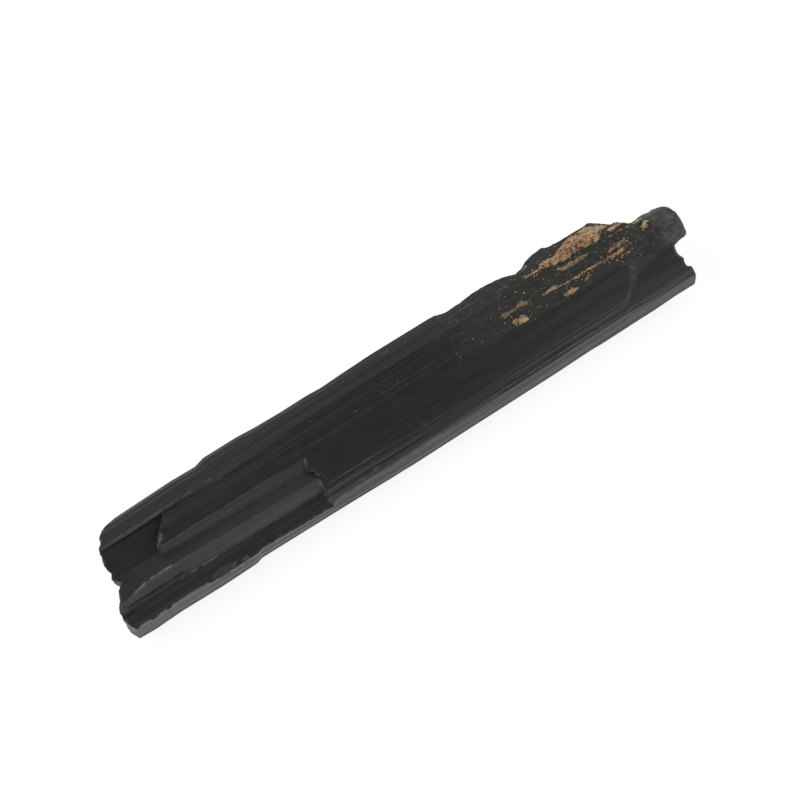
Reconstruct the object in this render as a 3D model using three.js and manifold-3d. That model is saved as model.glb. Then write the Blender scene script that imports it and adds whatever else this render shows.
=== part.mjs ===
// A natural rod of black tourmaline, lying on a flat prism face.
//
// Schorl grows as a bundle of parallel columns, so the rod keeps one bundle of long edges from end to end.
// Where an outer layer of columns has snapped off, the surface drops to the layer below in one ragged step.
// Both ends are broken across. Crusts of the host rock, a tan feldspar stained by iron, still sit in the
// hollows near one end.
//
// Frame, in millimetres: +X runs along the rod, from the stepped end to the crusted one. +Z is up. The
// origin is under the middle of the rod, on the surface it lies on. The broad face that shows most looks up
// and towards -Y.

import * as THREE from "three";
import { mergeVertices } from "three/addons/utils/BufferGeometryUtils.js";
import Module from "manifold-3d";

const LENGTH = 134.5; // tip to tip, along the columns
const TIP = LENGTH / 2;
const STEP_RUN = { slab: 0.3, layer: 0.5, last: 0.9 }; // run along the rod in which each break drops
const RING_PITCH = 2.6; // longest gap between two cross-sections
const CAP_RINGS = 7; // rings that carry each broken end
const CAP_HUB = [0, 5.5]; // [y, z] that the cap rings close on
const CRUST_THICKNESS = 0.5;
const CRUST_SEAT = 0.3; // air left under a crust, so that it and the rod stay separate solids
const HACKLE = { coarse: 0.25, fine: 0.15 }; // relief of a broken end
const STRIAE = [
  { count: 23, phase: 0, lift: 0.05 },
  { count: 41, phase: 1.3, lift: 0.04 },
]; // growth ridges: how many would go right round, and how far they stand up

// ---- Cross-sections -------------------------------------------------------------------------------------
// Each long edge of the rod is a name and its [y, z] in a cross-section. The order goes from the underside
// up the front, over the top and down the back. The side from heel to belly is the face that the rod lies
// on.

const FULL = {
  belly: [-5.8, 0],
  chin: [-8.5, 0.9],
  toe: [-9.85, 2.6],
  strip: [-9.3, 6.2],
  ledge: [-8.0, 7.5],
  ridge: [-6.6, 8.75],
  groove: [-2.9, 10.5],
  shelf: [-0.45, 11.5],
  brow: [2.05, 12.4],
  foot: [4.1, 12.95],
  crest: [4.75, 13.2],
  shoulder: [7.0, 13.05],
  nape: [9.25, 12.45],
  back: [9.5, 9.5],
  rump: [8.9, 4.6],
  hock: [7.7, 1.5],
  heel: [5.6, 0],
};

// The outer layer is gone from the front, which bares a low ledge, one long ridge and the groove behind it.
const BARED = {
  ...FULL,
  toe: [-9.8, 2.5],
  strip: [-9.8, 5.2],
  ledge: [-6.65, 6.75],
  ridge: [-4.95, 9.3],
  groove: [-2.4, 9.35],
  shelf: [-0.75, 11.25],
  foot: [4.2, 12.85],
  back: [9.3, 9.2],
  rump: [9.1, 5.6],
};

// Nearer the stepped end the ridge stands further back and the ledge is wider.
const BARED_WIDE = {
  ...BARED,
  toe: [-9.7, 2.3],
  strip: [-9.72, 6.3],
  ledge: [-6.1, 6.85],
  ridge: [-4.15, 9.7],
  groove: [-1.7, 9.35],
  shelf: [-0.4, 11.2],
  foot: [4.3, 12.75],
  crest: [4.8, 13.15],
  nape: [9.05, 12.3],
};

// At the stepped end the slab behind the ridge is gone as well, down to a floor under the crest. The ridge
// sinks towards the tip.
const RECESSED = {
  ...BARED_WIDE,
  shelf: [-0.35, 9.5],
  brow: [2.1, 10.65],
  foot: [4.3, 12.0],
};
const STEPPED_TIP = {
  ...RECESSED,
  ledge: [-6.2, 6.6],
  ridge: [-5.1, 9.0],
  groove: [-2.1, 9.1],
};

// Past the last break the front is a plain bevel with a groove behind it, and the back is broken away.
const NARROW = {
  belly: [-5.2, 0],
  chin: [-8.0, 1.0],
  toe: [-9.5, 2.9],
  strip: [-9.0, 6.0],
  ledge: [-8.05, 7.1],
  ridge: [-6.5, 8.6],
  groove: [-4.05, 9.0],
  shelf: [-2.6, 9.3],
  brow: [-1.1, 10.6],
  foot: [1.4, 11.5],
  crest: [3.3, 11.8],
  shoulder: [4.3, 11.2],
  nape: [5.3, 9.8],
  back: [5.6, 7.4],
  rump: [5.4, 4.4],
  hock: [5.0, 1.6],
  heel: [3.6, 0],
};

// Before that break the bevel is already a little steeper. The back is half gone at it, first with the
// outer layer still on the front and then without it.
const BEVELLED = {
  ...FULL,
  ledge: [-8.1, 7.25],
  ridge: [-6.8, 8.8],
};
const HALF_BACKED = {
  ...BEVELLED,
  shoulder: [5.6, 12.6],
  nape: [6.4, 11.5],
  back: [7.2, 9.0],
  rump: [7.2, 4.6],
  hock: [6.5, 1.5],
  heel: [4.8, 0],
};
const HALF_NARROW = {
  ...HALF_BACKED,
  ridge: [-6.5, 8.65],
  groove: [-4.05, 9.45],
  shelf: [-2.1, 10.3],
  brow: [1.6, 12.1],
};

// ---- Breaks, as seen from above -------------------------------------------------------------------------
// An outline is a list of [y, x], from front to back.

// How far each end stands back from its tip, across the rod.
const STEPPED_END = [
  [-9.7, 1.1], [-8.5, 0.6], [-7.2, 0.3], [-6.1, 0], [-5.3, 0.2], [-4.2, 1.0], [-2.7, 1.8], [-2.1, 2.3],
  [-1.55, 3.0], [-1.0, 3.1], [-0.2, 2.1], [1.1, 2.6], [3.6, 2.8], [4.8, 3.2], [6.3, 4.1], [7.6, 5.4],
  [8.6, 7.0], [9.2, 9.0],
];
const CRUSTED_END = [
  [-9.6, 2.7], [-9.0, 3.1], [-8.0, 3.4], [-7.75, 4.1], [-7.4, 4.2], [-6.3, 4.1], [-4.9, 4.4], [-3.9, 4.2],
  [-3.1, 3.8], [-2.9, 2.8], [-2.6, 1.0], [-2.2, 0.2], [-0.7, 0], [1.5, 0], [2.6, 0.4], [3.3, 0.8],
  [4.1, 1.7], [4.9, 3.2], [5.6, 4.6],
];

// Lower down, the stepped end leans back from its top edge, by a share of the depth below that edge. The
// share grows from front to behind over a stretch of y. The top edge is a list of [y, z].
const STEPPED_TOP = [[-9.7, 5.4], [-6.6, 6.9], [-4.5, 9.7], [3.5, 10.2], [5.0, 13.0]];
const STEPPED_LEAN = { front: 0.2, behind: 0.35, stretch: [-6.5, -4.5] };

// The foot of the crusted end stands back a little. A finger overhangs it at the back: underneath, the end
// stands back from the tip by at least the finger's reach. side is the stretch of y over which the finger
// starts, and underside the heights that it ends at.
const CRUSTED_FOOT = { depth: 1.2, height: 6.5 };
const FINGER = { reach: 4.5, side: [-3.4, -2.8], underside: [7.2, 9.0] };

// Where the slab starts behind the ridge, where the outer layer starts, where the back starts to fall away,
// and where the outer layer ends.
const SLAB_START = [
  [-1.6, -54.6], [-0.5, -54.4], [0.4, -54.0], [1.8, -53.0], [2.6, -52.0], [3.1, -51.2], [4.4, -50.4],
];
const LAYER_START = [
  [-9.7, -21.0], [-9.1, -22.0], [-6.9, -22.1], [-5.9, -21.1], [-4.7, -21.7], [-2.7, -22.9], [-0.5, -22.2],
  [0.1, -20.7], [7.0, -19.5], [9.6, -14.0],
];
const TAPER_START = [[-9.6, 45.0], [9.6, 51.6]];
const LAYER_END = [
  [-9.6, 46.4], [-8.6, 47.0], [-7.7, 47.9], [-6.8, 49.4], [-5.6, 50.7], [-4.4, 51.8], [-3.0, 52.4],
  [0, 54.0], [3.0, 55.2],
];

// How far in the sunken ridge of the stepped end reaches.
const SUNK_END = [[0, -60.0], [7, -58.5], [9.6, -54.6]];

// Slow wander of the two side edges, as lists of [x, shift in y].
const FRONT_WANDER = [
  [-67, 0.1], [-62, -0.12], [-56, 0.1], [-47, -0.05], [-39, 0.08], [-37.7, 0.45], [-28, 0.35], [-16, 0.2],
  [-8, 0], [8, 0.1], [30, 0.15], [38, 0.3], [48, 0.35], [54, 0.1], [65, 0],
];
const BACK_WANDER = [
  [-66, 0], [-58, -0.2], [-51, 0], [-45, 0.12], [-39.5, 0], [-37.2, 0.65], [-29.7, 0.6], [-26, 0.3],
  [-20, 0.1], [-14, 0.1], [-11, -0.1], [-6, 0.1], [0.7, 0.25], [15.4, 0.15], [16.4, -0.3], [17.9, -0.6],
  [21.3, -0.4], [24.2, -0.1], [27.2, -0.2], [30, -0.5], [32, -1.0], [33.4, -1.5], [35, -1.2], [37, -0.3],
  [39, 0.15], [41, 0.25], [41.8, -0.2], [44, -0.5], [50, -0.6], [54, 0],
];

// ---- Crusts ---------------------------------------------------------------------------------------------
// Each crust is named for where it sits. at is the middle of its outline from above, half its half length
// and half width, and turn the angle of its long side to the rod, in degrees.
const CRUSTS = [
  { name: "matrix_crust_back_edge", at: [46.2, 5.7], half: [7.6, 1.5], turn: 0 },
  { name: "matrix_crust_back_tail", at: [57.4, 4.3], half: [2.8, 0.55], turn: -6 },
  { name: "matrix_crust_seam", at: [42.0, 0.6], half: [6.4, 0.45], turn: 0 },
  { name: "matrix_crust_seam_lens", at: [52.4, 0.6], half: [3.5, 0.8], turn: -2 },
  { name: "matrix_crust_grey_patch", at: [28.4, 1.6], half: [3.2, 0.65], turn: 2 },
  { name: "matrix_crust_round_patch", at: [28.5, -0.95], half: [1.7, 0.9], turn: -6 },
  { name: "matrix_crust_low_patch", at: [40.0, -1.35], half: [1.7, 0.65], turn: 0 },
  { name: "matrix_crust_small_patch", at: [44.4, -1.0], half: [0.95, 0.65], turn: 10 },
  { name: "matrix_crust_end_patch", at: [60.2, 1.9], half: [1.1, 0.8], turn: 25 },
];

// ---- The rod --------------------------------------------------------------------------------------------

const ramp = (value, low, high) => THREE.MathUtils.smoothstep(value, low, high);

// The value of a list of [place, value] at a place, straight between its points and level past its ends.
function along(list, place) {
  const next = list.findIndex(([p]) => p > place);
  if (next === 0) return list[0][1];
  if (next < 0) return list[list.length - 1][1];
  const [p0, v0] = list[next - 1];
  const [p1, v1] = list[next];
  return v0 + ((v1 - v0) * (place - p0)) / (p1 - p0);
}

// A cross-section as a closed loop of [y, z]. The list says into how many steps each of its sides is cut.
const SIDE_STEPS = [2, 2, 2, 3, 2, 3, 3, 3, 2, 1, 2, 2, 3, 3, 2, 2, 6];
function loopOf(section) {
  const corners = Object.values(section);
  return corners.flatMap(([y, z], i) => {
    const [nextY, nextZ] = corners[(i + 1) % corners.length];
    const steps = SIDE_STEPS[i];
    return Array.from({ length: steps }, (_, k) => [
      y + ((nextY - y) * k) / steps,
      z + ((nextZ - z) * k) / steps,
    ]);
  });
}

// Fine growth ridges, as a lift away from the middle of the rod that depends only on the place in the
// section.
function striae(y, z) {
  const girth = Math.atan2(z - CAP_HUB[1], y - CAP_HUB[0]);
  return STRIAE.reduce((sum, { count, phase, lift }) => sum + lift * Math.sin(count * girth + phase), 0);
}

function steppedLean(y, z) {
  const { front, behind, stretch } = STEPPED_LEAN;
  const share = THREE.MathUtils.lerp(front, behind, ramp(y, ...stretch));
  return share * Math.max(0, along(STEPPED_TOP, y) - z);
}

function crustedLean(y, z) {
  const foot = CRUSTED_FOOT.depth * (1 - ramp(z, 0, CRUSTED_FOOT.height));
  const recess = Math.max(0, FINGER.reach - along(CRUSTED_END, y));
  return foot + recess * ramp(y, ...FINGER.side) * (1 - ramp(z, ...FINGER.underside));
}

// A broken end is hackly, and lean says how far it stands back at each place.
function brokenEnd(outline, side, lean) {
  return ([y, z]) => {
    const hackle = HACKLE.coarse * Math.sin(2.1 * y + 1.7 * z) + HACKLE.fine * Math.sin(4.3 * z - 1.1 * y);
    return side * (TIP - along(outline, y) - lean(y, z) - Math.max(0, hackle));
  };
}

const steppedEnd = brokenEnd(STEPPED_END, -1, steppedLean);
const crustedEnd = brokenEnd(CRUSTED_END, 1, crustedLean);

const across = (outline, run = 0) => ([y]) => along(outline, y) + run;
const level = (x) => () => x;

// The stations from the stepped end to the crusted one: where each stands, and its section.
const stations = [
  { x: steppedEnd, section: STEPPED_TIP },
  { x: across(SUNK_END), section: RECESSED },
  { x: across(SLAB_START), section: RECESSED },
  { x: across(SLAB_START, STEP_RUN.slab), section: BARED_WIDE },
  { x: across(LAYER_START), section: BARED },
  { x: across(LAYER_START, STEP_RUN.layer), section: FULL },
  { x: level(12), section: FULL },
  { x: across(TAPER_START), section: BEVELLED },
  { x: across(LAYER_END), section: HALF_BACKED },
  { x: across(LAYER_END, STEP_RUN.last), section: HALF_NARROW },
  { x: level(58.9), section: NARROW },
  { x: crustedEnd, section: NARROW },
].map(({ x, section }) => loopOf(section).map(([y, z]) => [x([y, z]), y, z]));

// Rings between two stations, straight from one to the other.
function bridge(from, to) {
  const gap = Math.max(...from.map(([x], i) => to[i][0] - x));
  const steps = Math.max(1, Math.round(gap / RING_PITCH));
  return Array.from({ length: steps }, (_, k) =>
    from.map((point, i) => point.map((v, axis) => v + ((to[i][axis] - v) * k) / steps)),
  );
}

// Rings that close a broken end on its hub, from the hub outwards. The outermost is the station itself.
function capRings(station, end) {
  return Array.from({ length: CAP_RINGS }, (_, k) =>
    station.map(([, y, z]) => {
      const share = k / CAP_RINGS;
      const inner = [CAP_HUB[0] + (y - CAP_HUB[0]) * share, CAP_HUB[1] + (z - CAP_HUB[1]) * share];
      return [end(inner), ...inner];
    }),
  );
}

// The last touch on each point: the side edges wander, and the growth ridges stand up everywhere but on the
// floor.
function finish([x, y, z]) {
  const sway = along(FRONT_WANDER, x) * ramp(-y, 7, 9.3) + along(BACK_WANDER, x) * ramp(y, 5, 8.5);
  const reach = Math.hypot(y - CAP_HUB[0], z - CAP_HUB[1]) || 1;
  const lift = striae(y, z) * ramp(z, 0, 2) * ramp(reach, 3, 5);
  return [x, y + sway + ((y - CAP_HUB[0]) / reach) * lift, z + ((z - CAP_HUB[1]) / reach) * lift];
}

const rings = [
  ...capRings(stations[0], steppedEnd),
  ...stations.slice(1).flatMap((station, i) => bridge(stations[i], station)),
  stations[stations.length - 1],
  ...capRings(stations[stations.length - 1], crustedEnd).reverse(),
].map((ring) => ring.map(finish));

// A sphere has the right web of faces, rings between two poles, so its points are moved onto the rod's
// rings.
function rodGeometry() {
  const around = rings[0].length;
  const geometry = new THREE.SphereGeometry(1, around, rings.length - 1);
  const position = geometry.getAttribute("position");
  for (let i = 0; i < position.count; i++) {
    const ring = rings[Math.floor(i / (around + 1))];
    position.setXYZ(i, ...ring[(i % (around + 1)) % around]);
  }
  geometry.deleteAttribute("normal");
  geometry.deleteAttribute("uv");
  return mergeVertices(geometry, 1e-4);
}

// ---- Solids ---------------------------------------------------------------------------------------------

const wasm = await Module();
wasm.setup();

function solidOf(geometry) {
  const bare = geometry.clone();
  bare.deleteAttribute("normal");
  bare.deleteAttribute("uv");
  const merged = mergeVertices(bare, 1e-4);
  return new wasm.Manifold(
    new wasm.Mesh({
      numProp: 3,
      vertProperties: merged.getAttribute("position").array,
      triVerts: new Uint32Array(merged.index.array),
    }),
  );
}

function geometryOf(solid) {
  const mesh = solid.getMesh();
  return new THREE.BufferGeometry()
    .setAttribute("position", new THREE.BufferAttribute(mesh.vertProperties, 3))
    .setIndex(new THREE.BufferAttribute(mesh.triVerts, 1));
}

// A crust is the band between the rod's surface and the same surface lifted, inside an upright oval.
function crustGeometry(rod, { at, half, turn }) {
  const oval = new THREE.Shape().absellipse(0, 0, half[0], half[1], 0, 2 * Math.PI, false, 0);
  const column = new THREE.ExtrudeGeometry(oval, { depth: 12, bevelEnabled: false, curveSegments: 9 })
    .rotateZ(THREE.MathUtils.degToRad(turn))
    .translate(at[0], at[1], 7);
  const top = solidOf(rod.clone().translate(0, 0, CRUST_SEAT + CRUST_THICKNESS));
  const bed = solidOf(rod.clone().translate(0, 0, CRUST_SEAT));
  return geometryOf(solidOf(column).intersect(top).subtract(bed));
}

const schorl = new THREE.MeshStandardMaterial({ color: 0x1d1e1d, roughness: 0.42, metalness: 0 });
const feldspar = new THREE.MeshStandardMaterial({ color: 0xa98a66, roughness: 0.85, metalness: 0 });

const rod = rodGeometry();
const tourmaline = new THREE.Group();

const crystal = new THREE.Mesh(rod, schorl);
crystal.name = "tourmaline_crystal";
tourmaline.add(crystal);

for (const crust of CRUSTS) {
  const mesh = new THREE.Mesh(crustGeometry(rod, crust), feldspar);
  mesh.name = crust.name;
  tourmaline.add(mesh);
}

export default tourmaline;
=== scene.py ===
import math
import random

import bmesh
import bpy
from mathutils import Matrix, Vector, noise
from mathutils.bvhtree import BVHTree


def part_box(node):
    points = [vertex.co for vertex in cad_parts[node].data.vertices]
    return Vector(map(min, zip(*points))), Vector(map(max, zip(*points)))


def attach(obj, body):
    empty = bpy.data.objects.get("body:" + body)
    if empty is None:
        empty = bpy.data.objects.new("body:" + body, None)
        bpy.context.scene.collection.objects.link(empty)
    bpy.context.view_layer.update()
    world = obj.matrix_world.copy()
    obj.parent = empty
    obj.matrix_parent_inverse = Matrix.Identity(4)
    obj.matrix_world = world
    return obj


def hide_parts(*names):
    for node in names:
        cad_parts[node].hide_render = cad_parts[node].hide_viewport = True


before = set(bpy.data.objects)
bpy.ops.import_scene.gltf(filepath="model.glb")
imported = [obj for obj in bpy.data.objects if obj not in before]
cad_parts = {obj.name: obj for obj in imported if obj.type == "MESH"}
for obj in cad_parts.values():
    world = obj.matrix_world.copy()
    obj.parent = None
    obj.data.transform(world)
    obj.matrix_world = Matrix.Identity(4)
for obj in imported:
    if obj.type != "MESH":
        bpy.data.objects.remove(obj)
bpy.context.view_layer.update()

# ---- The rod --------------------------------------------------------------------------------------
# One crystal of black tourmaline: a bundle of columns that grew side by side, lying on a flat face.
# Layers of columns have snapped off it in steps, and both ends are broken across. It is glossy where
# the growth faces are whole, and pitted and dusty where the host rock held it.

MM = 0.001
rod_low, rod_high = (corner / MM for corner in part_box("tourmaline_crystal"))
STEP_RUN = {"slab": 0.3, "layer": 0.5, "last": 0.9}  # run along the rod in which each break drops
CAP_RINGS = 20
CAP_HUB = Vector((0.0, 5.5))  # y and z that the broken ends close on

# The long edges of the rod, each with the number of columns from it to the next one. They go from the
# underside up the front, over the top and down the back.
EDGES = {
    "belly": 6, "chin": 6, "toe": 12, "strip": 6, "lip": 18, "ledge": 20, "ridge": 28, "groove": 20,
    "shelf": 20, "brow": 16, "foot": 10, "crest": 18, "shoulder": 16, "nape": 12, "back": 12,
    "rump": 8, "hock": 6, "heel": 8,
}

# A section gives every edge its y and z in millimetres. The whole rod has this one.
whole = {
    "belly": (-5.8, 0.0), "chin": (-8.5, 0.9), "toe": (-9.85, 2.6), "strip": (-9.4, 5.85),
    "lip": (-9.25, 6.3), "ledge": (-8.0, 7.5), "ridge": (-6.6, 8.75), "groove": (-2.9, 10.5),
    "shelf": (-0.45, 11.5), "brow": (2.05, 12.4), "foot": (4.1, 12.95), "crest": (4.75, 13.2),
    "shoulder": (7.0, 13.05), "nape": (9.25, 12.45), "back": (9.5, 9.5), "rump": (8.9, 4.6),
    "hock": (7.7, 1.5), "heel": (5.6, 0.0),
}
# Without its outer layer the front shows a low ledge, one long ridge and the groove behind it.
bared = whole | {
    "toe": (-9.8, 2.5), "strip": (-9.75, 4.8), "lip": (-9.8, 5.2), "ledge": (-6.65, 6.75),
    "ridge": (-4.95, 9.3), "groove": (-2.4, 9.35), "shelf": (-0.75, 11.25), "foot": (4.2, 12.85),
    "back": (9.3, 9.2), "rump": (9.1, 5.6),
}
# Nearer the stepped end the ridge stands further back and the ledge is wider.
bared_wide = bared | {
    "toe": (-9.7, 2.3), "strip": (-9.62, 5.7), "lip": (-9.74, 6.3), "ledge": (-6.1, 6.85),
    "ridge": (-4.15, 9.7), "groove": (-1.7, 9.35), "shelf": (-0.4, 11.2), "foot": (4.3, 12.75),
    "crest": (4.8, 13.15), "nape": (9.05, 12.3),
}
# The slab behind the ridge is gone as well, down to a floor under the crest.
recessed = bared_wide | {"shelf": (-0.35, 9.5), "brow": (2.1, 10.65), "foot": (4.3, 12.0)}
stepped_tip = recessed | {"ledge": (-6.2, 6.6), "ridge": (-5.1, 9.0), "groove": (-2.1, 9.1)}
# Towards the crusted end the bevel is a little steeper.
bevelled = whole | {"ledge": (-8.1, 7.25), "ridge": (-6.8, 8.8)}
# At the last break the back has half fallen away. The first of these still has the outer layer on its
# front, and the second has lost it.
half_backed = bevelled | {
    "shoulder": (5.6, 12.6), "nape": (6.4, 11.5), "back": (7.2, 9.0), "rump": (7.2, 4.6),
    "hock": (6.5, 1.5), "heel": (4.8, 0.0),
}
half_narrow = half_backed | {
    "ridge": (-6.5, 8.65), "groove": (-4.05, 9.45), "shelf": (-2.1, 10.3), "brow": (1.6, 12.1),
}
# Past the last break the front is a plain bevel with a groove behind it, and the back is gone.
narrow = {
    "belly": (-5.2, 0.0), "chin": (-8.0, 1.0), "toe": (-9.5, 2.9), "strip": (-9.2, 5.5),
    "lip": (-9.0, 6.0), "ledge": (-8.05, 7.1), "ridge": (-6.5, 8.6), "groove": (-4.05, 9.0),
    "shelf": (-2.6, 9.3), "brow": (-1.1, 10.6), "foot": (1.4, 11.5), "crest": (3.3, 11.8),
    "shoulder": (4.3, 11.2), "nape": (5.3, 9.8), "back": (5.6, 7.4), "rump": (5.4, 4.4),
    "hock": (5.0, 1.6), "heel": (3.6, 0.0),
}

# How far each end stands back from its tip, as lists of (y, distance), from front to back.
STEPPED_END = [
    (-9.7, 1.1), (-8.5, 0.6), (-7.2, 0.3), (-6.1, 0.0), (-5.3, 0.2), (-4.2, 1.0), (-2.7, 1.8),
    (-2.1, 2.3), (-1.55, 3.0), (-1.0, 3.1), (-0.2, 2.1), (1.1, 2.6), (3.6, 2.8), (4.8, 3.2),
    (6.3, 4.1), (7.6, 5.4), (8.6, 7.0), (9.2, 9.0),
]
CRUSTED_END = [
    (-9.6, 2.7), (-9.0, 3.1), (-8.0, 3.4), (-7.75, 4.1), (-7.4, 4.2), (-6.3, 4.1), (-4.9, 4.4),
    (-3.9, 4.2), (-3.1, 3.8), (-2.9, 2.8), (-2.6, 1.0), (-2.2, 0.2), (-0.7, 0.0), (1.5, 0.0),
    (2.6, 0.4), (3.3, 0.8), (4.1, 1.7), (4.9, 3.2), (5.6, 4.6),
]
# The breaks, as lists of (y, x): how far in the sunken ridge of the stepped end reaches, where the
# slab behind the ridge starts, where the outer layer starts, where the back starts to fall away, and
# where the outer layer ends.
SUNK_END = [(0.0, -60.0), (7.0, -58.5), (9.6, -54.6)]
SLAB_START = [
    (-1.6, -54.6), (-0.5, -54.4), (0.4, -54.0), (1.8, -53.0), (2.6, -52.0), (3.1, -51.2), (4.4, -50.4),
]
LAYER_START = [
    (-9.7, -21.0), (-9.1, -22.0), (-6.9, -22.1), (-5.9, -21.1), (-4.7, -21.7), (-2.7, -22.9),
    (-0.5, -22.2), (0.1, -20.7), (7.0, -19.5), (9.6, -14.0),
]
TAPER_START = [(-9.6, 45.0), (9.6, 51.6)]
LAYER_END = [
    (-9.6, 46.4), (-8.6, 47.0), (-7.7, 47.9), (-6.8, 49.4), (-5.6, 50.7), (-4.4, 51.8), (-3.0, 52.4),
    (0.0, 54.0), (3.0, 55.2),
]

# Small shell-shaped chips, as x, y, half length, half width and depth.
CHIPS = [
    (-65.6, -5.6, 1.0, 0.8, 0.25), (-46.0, -9.0, 2.6, 0.7, 0.30), (-41.3, -9.3, 0.7, 0.4, 0.2),
    (-53.1, 1.2, 0.7, 0.5, 0.22), (-14.3, -8.9, 0.5, 0.35, 0.15), (-11.0, -8.7, 0.6, 0.4, 0.12),
    (-8.6, 1.3, 0.35, 0.3, 0.12), (-33.0, -9.3, 0.4, 0.25, 0.12), (-28.0, -1.9, 0.3, 0.3, 0.12),
    (3.0, 8.0, 0.9, 0.4, 0.15), (7.6, 7.3, 0.3, 0.3, 0.1), (22.0, 7.9, 0.8, 0.5, 0.2),
]

# Painted highlights along edges: pale lines that stand for the light the edges catch, as x and y of one
# end, x and y of the other, half width and strength.
PAINTED_EDGE_HIGHLIGHTS = [
    (-65.5, -9.65, -48.5, -9.65, 0.26, 2.5), (-54.1, 0.4, -53.0, 0.6, 0.3, 1.0),
    (-64.0, -4.9, -60.0, -4.3, 0.2, 0.9), (-60.5, -4.15, -54.0, -4.15, 0.18, 1.1),
    (-54.0, -6.1, -43.0, -6.2, 0.11, 1.0), (-53.5, -0.4, -24.0, -0.65, 0.12, 0.3),
    (-40.5, -9.6, -22.0, -9.6, 0.2, 0.6), (-21.0, -6.6, -8.0, -6.75, 0.16, 0.2),
    (17.0, -8.75, 45.0, -8.8, 0.1, 0.4), (-20.5, -9.3, 6.0, -9.3, 0.14, 0.3),
    (-62.0, 4.8, -36.0, 4.75, 0.16, 0.35),
]
# Height over which the painted edge highlights start, above the front strip, on either side of where
# the strip steps.
STRIP_STEPS_AT = -43
STRIP_TOP = {"before": (5.95, 6.15), "after": (4.9, 5.1)}

# Slow wander of the two side edges, as lists of (x, shift in y).
FRONT_WANDER = [
    (-67, 0.1), (-62, -0.12), (-56, 0.1), (-47, -0.05), (-39, 0.08), (-37.7, 0.45), (-28, 0.35),
    (-16, 0.2), (-8, 0.0), (8, 0.1), (30, 0.15), (38, 0.3), (48, 0.35), (54, 0.1), (65, 0.0),
]
BACK_WANDER = [
    (-66, 0.0), (-58, -0.2), (-51, 0.0), (-45, 0.12), (-39.5, 0.0), (-37.2, 0.65), (-29.7, 0.6),
    (-26, 0.3), (-20, 0.1), (-14, 0.1), (-11, -0.1), (-6, 0.1), (0.7, 0.25), (15.4, 0.15), (16.4, -0.3),
    (17.9, -0.6), (21.3, -0.4), (24.2, -0.1), (27.2, -0.2), (30, -0.5), (32, -1.0), (33.4, -1.5),
    (35, -1.2), (37, -0.3), (39, 0.15), (41, 0.25), (41.8, -0.2), (44, -0.5), (50, -0.6), (54, 0.0),
]

# Fine grooves (and, where the depth is below zero, threads) that stand out among the growth lines, as
# x and y of one end, x and y of the other, half width and depth.
GROOVES = [
    (-64.0, 4.35, -24.0, 3.95, 0.2, 0.16), (-66.0, -5.8, -51.0, -5.6, 0.14, 0.14),
    (-66.0, -5.05, -60.5, -4.3, 0.12, -0.08), (-61.5, -4.25, -50.0, -4.2, 0.12, -0.08),
    (-10.0, -4.7, 30.0, -6.5, 0.14, -0.06), (7.5, -2.6, 33.0, -3.5, 0.14, -0.06),
    (-21.0, -6.8, 8.0, -7.3, 0.14, 0.05), (12.0, -5.2, 34.0, -5.8, 0.15, 0.07),
    (16.0, -9.1, 61.5, -9.05, 0.12, 0.05), (17.0, -8.35, 43.0, -8.4, 0.12, 0.10),
    (20.0, -7.7, 46.0, -7.75, 0.1, -0.06), (14.0, -9.45, 50.0, -9.5, 0.1, 0.08),
    (-47.0, 1.7, -24.0, 1.5, 0.12, 0.07), (-44.0, 2.9, -26.0, 2.7, 0.12, 0.06),
    (51.0, -3.3, 62.0, -3.3, 0.1, -0.06), (-56.0, -5.95, -40.0, -6.15, 0.1, -0.07),
    (-66.0, -9.35, -40.0, -9.35, 0.12, -0.05), (-62.0, 4.95, -20.0, 4.6, 0.14, -0.07),
    (50.0, 2.1, 58.0, 2.0, 0.14, 0.1), (-60.0, 6.2, -18.0, 5.9, 0.14, 0.07),
    (-56.0, 7.6, -22.0, 7.5, 0.14, 0.06),
    (-12.0, 1.5, 12.0, 1.2, 0.14, 0.07), (-10.0, 3.9, 6.0, 3.8, 0.16, 0.07),
]


def ramp(value, low, high):
    share = min(max((value - low) / (high - low), 0.0), 1.0)
    return share * share * (3 - 2 * share)


def along(points, place):
    """The value of a list of (place, value) at a place, straight between its points."""
    if place <= points[0][0]:
        return points[0][1]
    for (p0, v0), (p1, v1) in zip(points, points[1:]):
        if place <= p1:
            return v0 + (v1 - v0) * (place - p0) / (p1 - p0)
    return points[-1][1]


def loop_of(section):
    """A section as a closed loop of (y, z), with every side cut into its columns."""
    corners = [Vector(section[name]) for name in EDGES]
    loop = []
    for i, steps in enumerate(EDGES.values()):
        start, end = corners[i], corners[(i + 1) % len(corners)]
        loop += [start.lerp(end, k / steps) for k in range(steps)]
    return loop


def jagged(column, seed):
    """Small ragged shift of a break along the rod, the same for both sides of its step."""
    return 0.4 * noise.noise((column * 0.11, seed, 0)) + 0.22 * noise.noise((column * 0.37, seed, 5))


def broken_end(outline, tip, side, hackle, lean):
    """A function for the place of a broken end. lean tells how much further back it stands."""
    def end(y, z):
        rugged = hackle * max(0.0, noise.fractal((y * 0.45, z * 0.45, tip), 1.0, 2.2, 5))
        splinter = 0.4 * hackle * abs(noise.noise((y * 1.9, z * 1.1, tip + 9)))
        return tip - side * (along(outline, y) + lean(y, z) + rugged + splinter)
    return end


# The stepped end leans back below its top edge, a list of (y, z). The lean is a share of the depth,
# and more is added to it over a stretch of y.
STEPPED_TOP = [(-9.7, 5.4), (-6.6, 6.9), (-4.5, 9.7), (3.5, 10.2), (5.0, 13.0)]
STEPPED_LEAN = {"front": 0.20, "added": 0.15, "stretch": (-6.5, -4.5)}
# The foot of the crusted end stands back a little. A finger overhangs it at the back: side is the
# stretch of y over which the finger starts, and underside the heights that it ends at.
CRUSTED_FOOT = {"depth": 1.2, "height": 6.5}
FINGER = {"reach": 4.5, "side": (-3.4, -2.8), "underside": (7.2, 9.0)}


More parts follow.
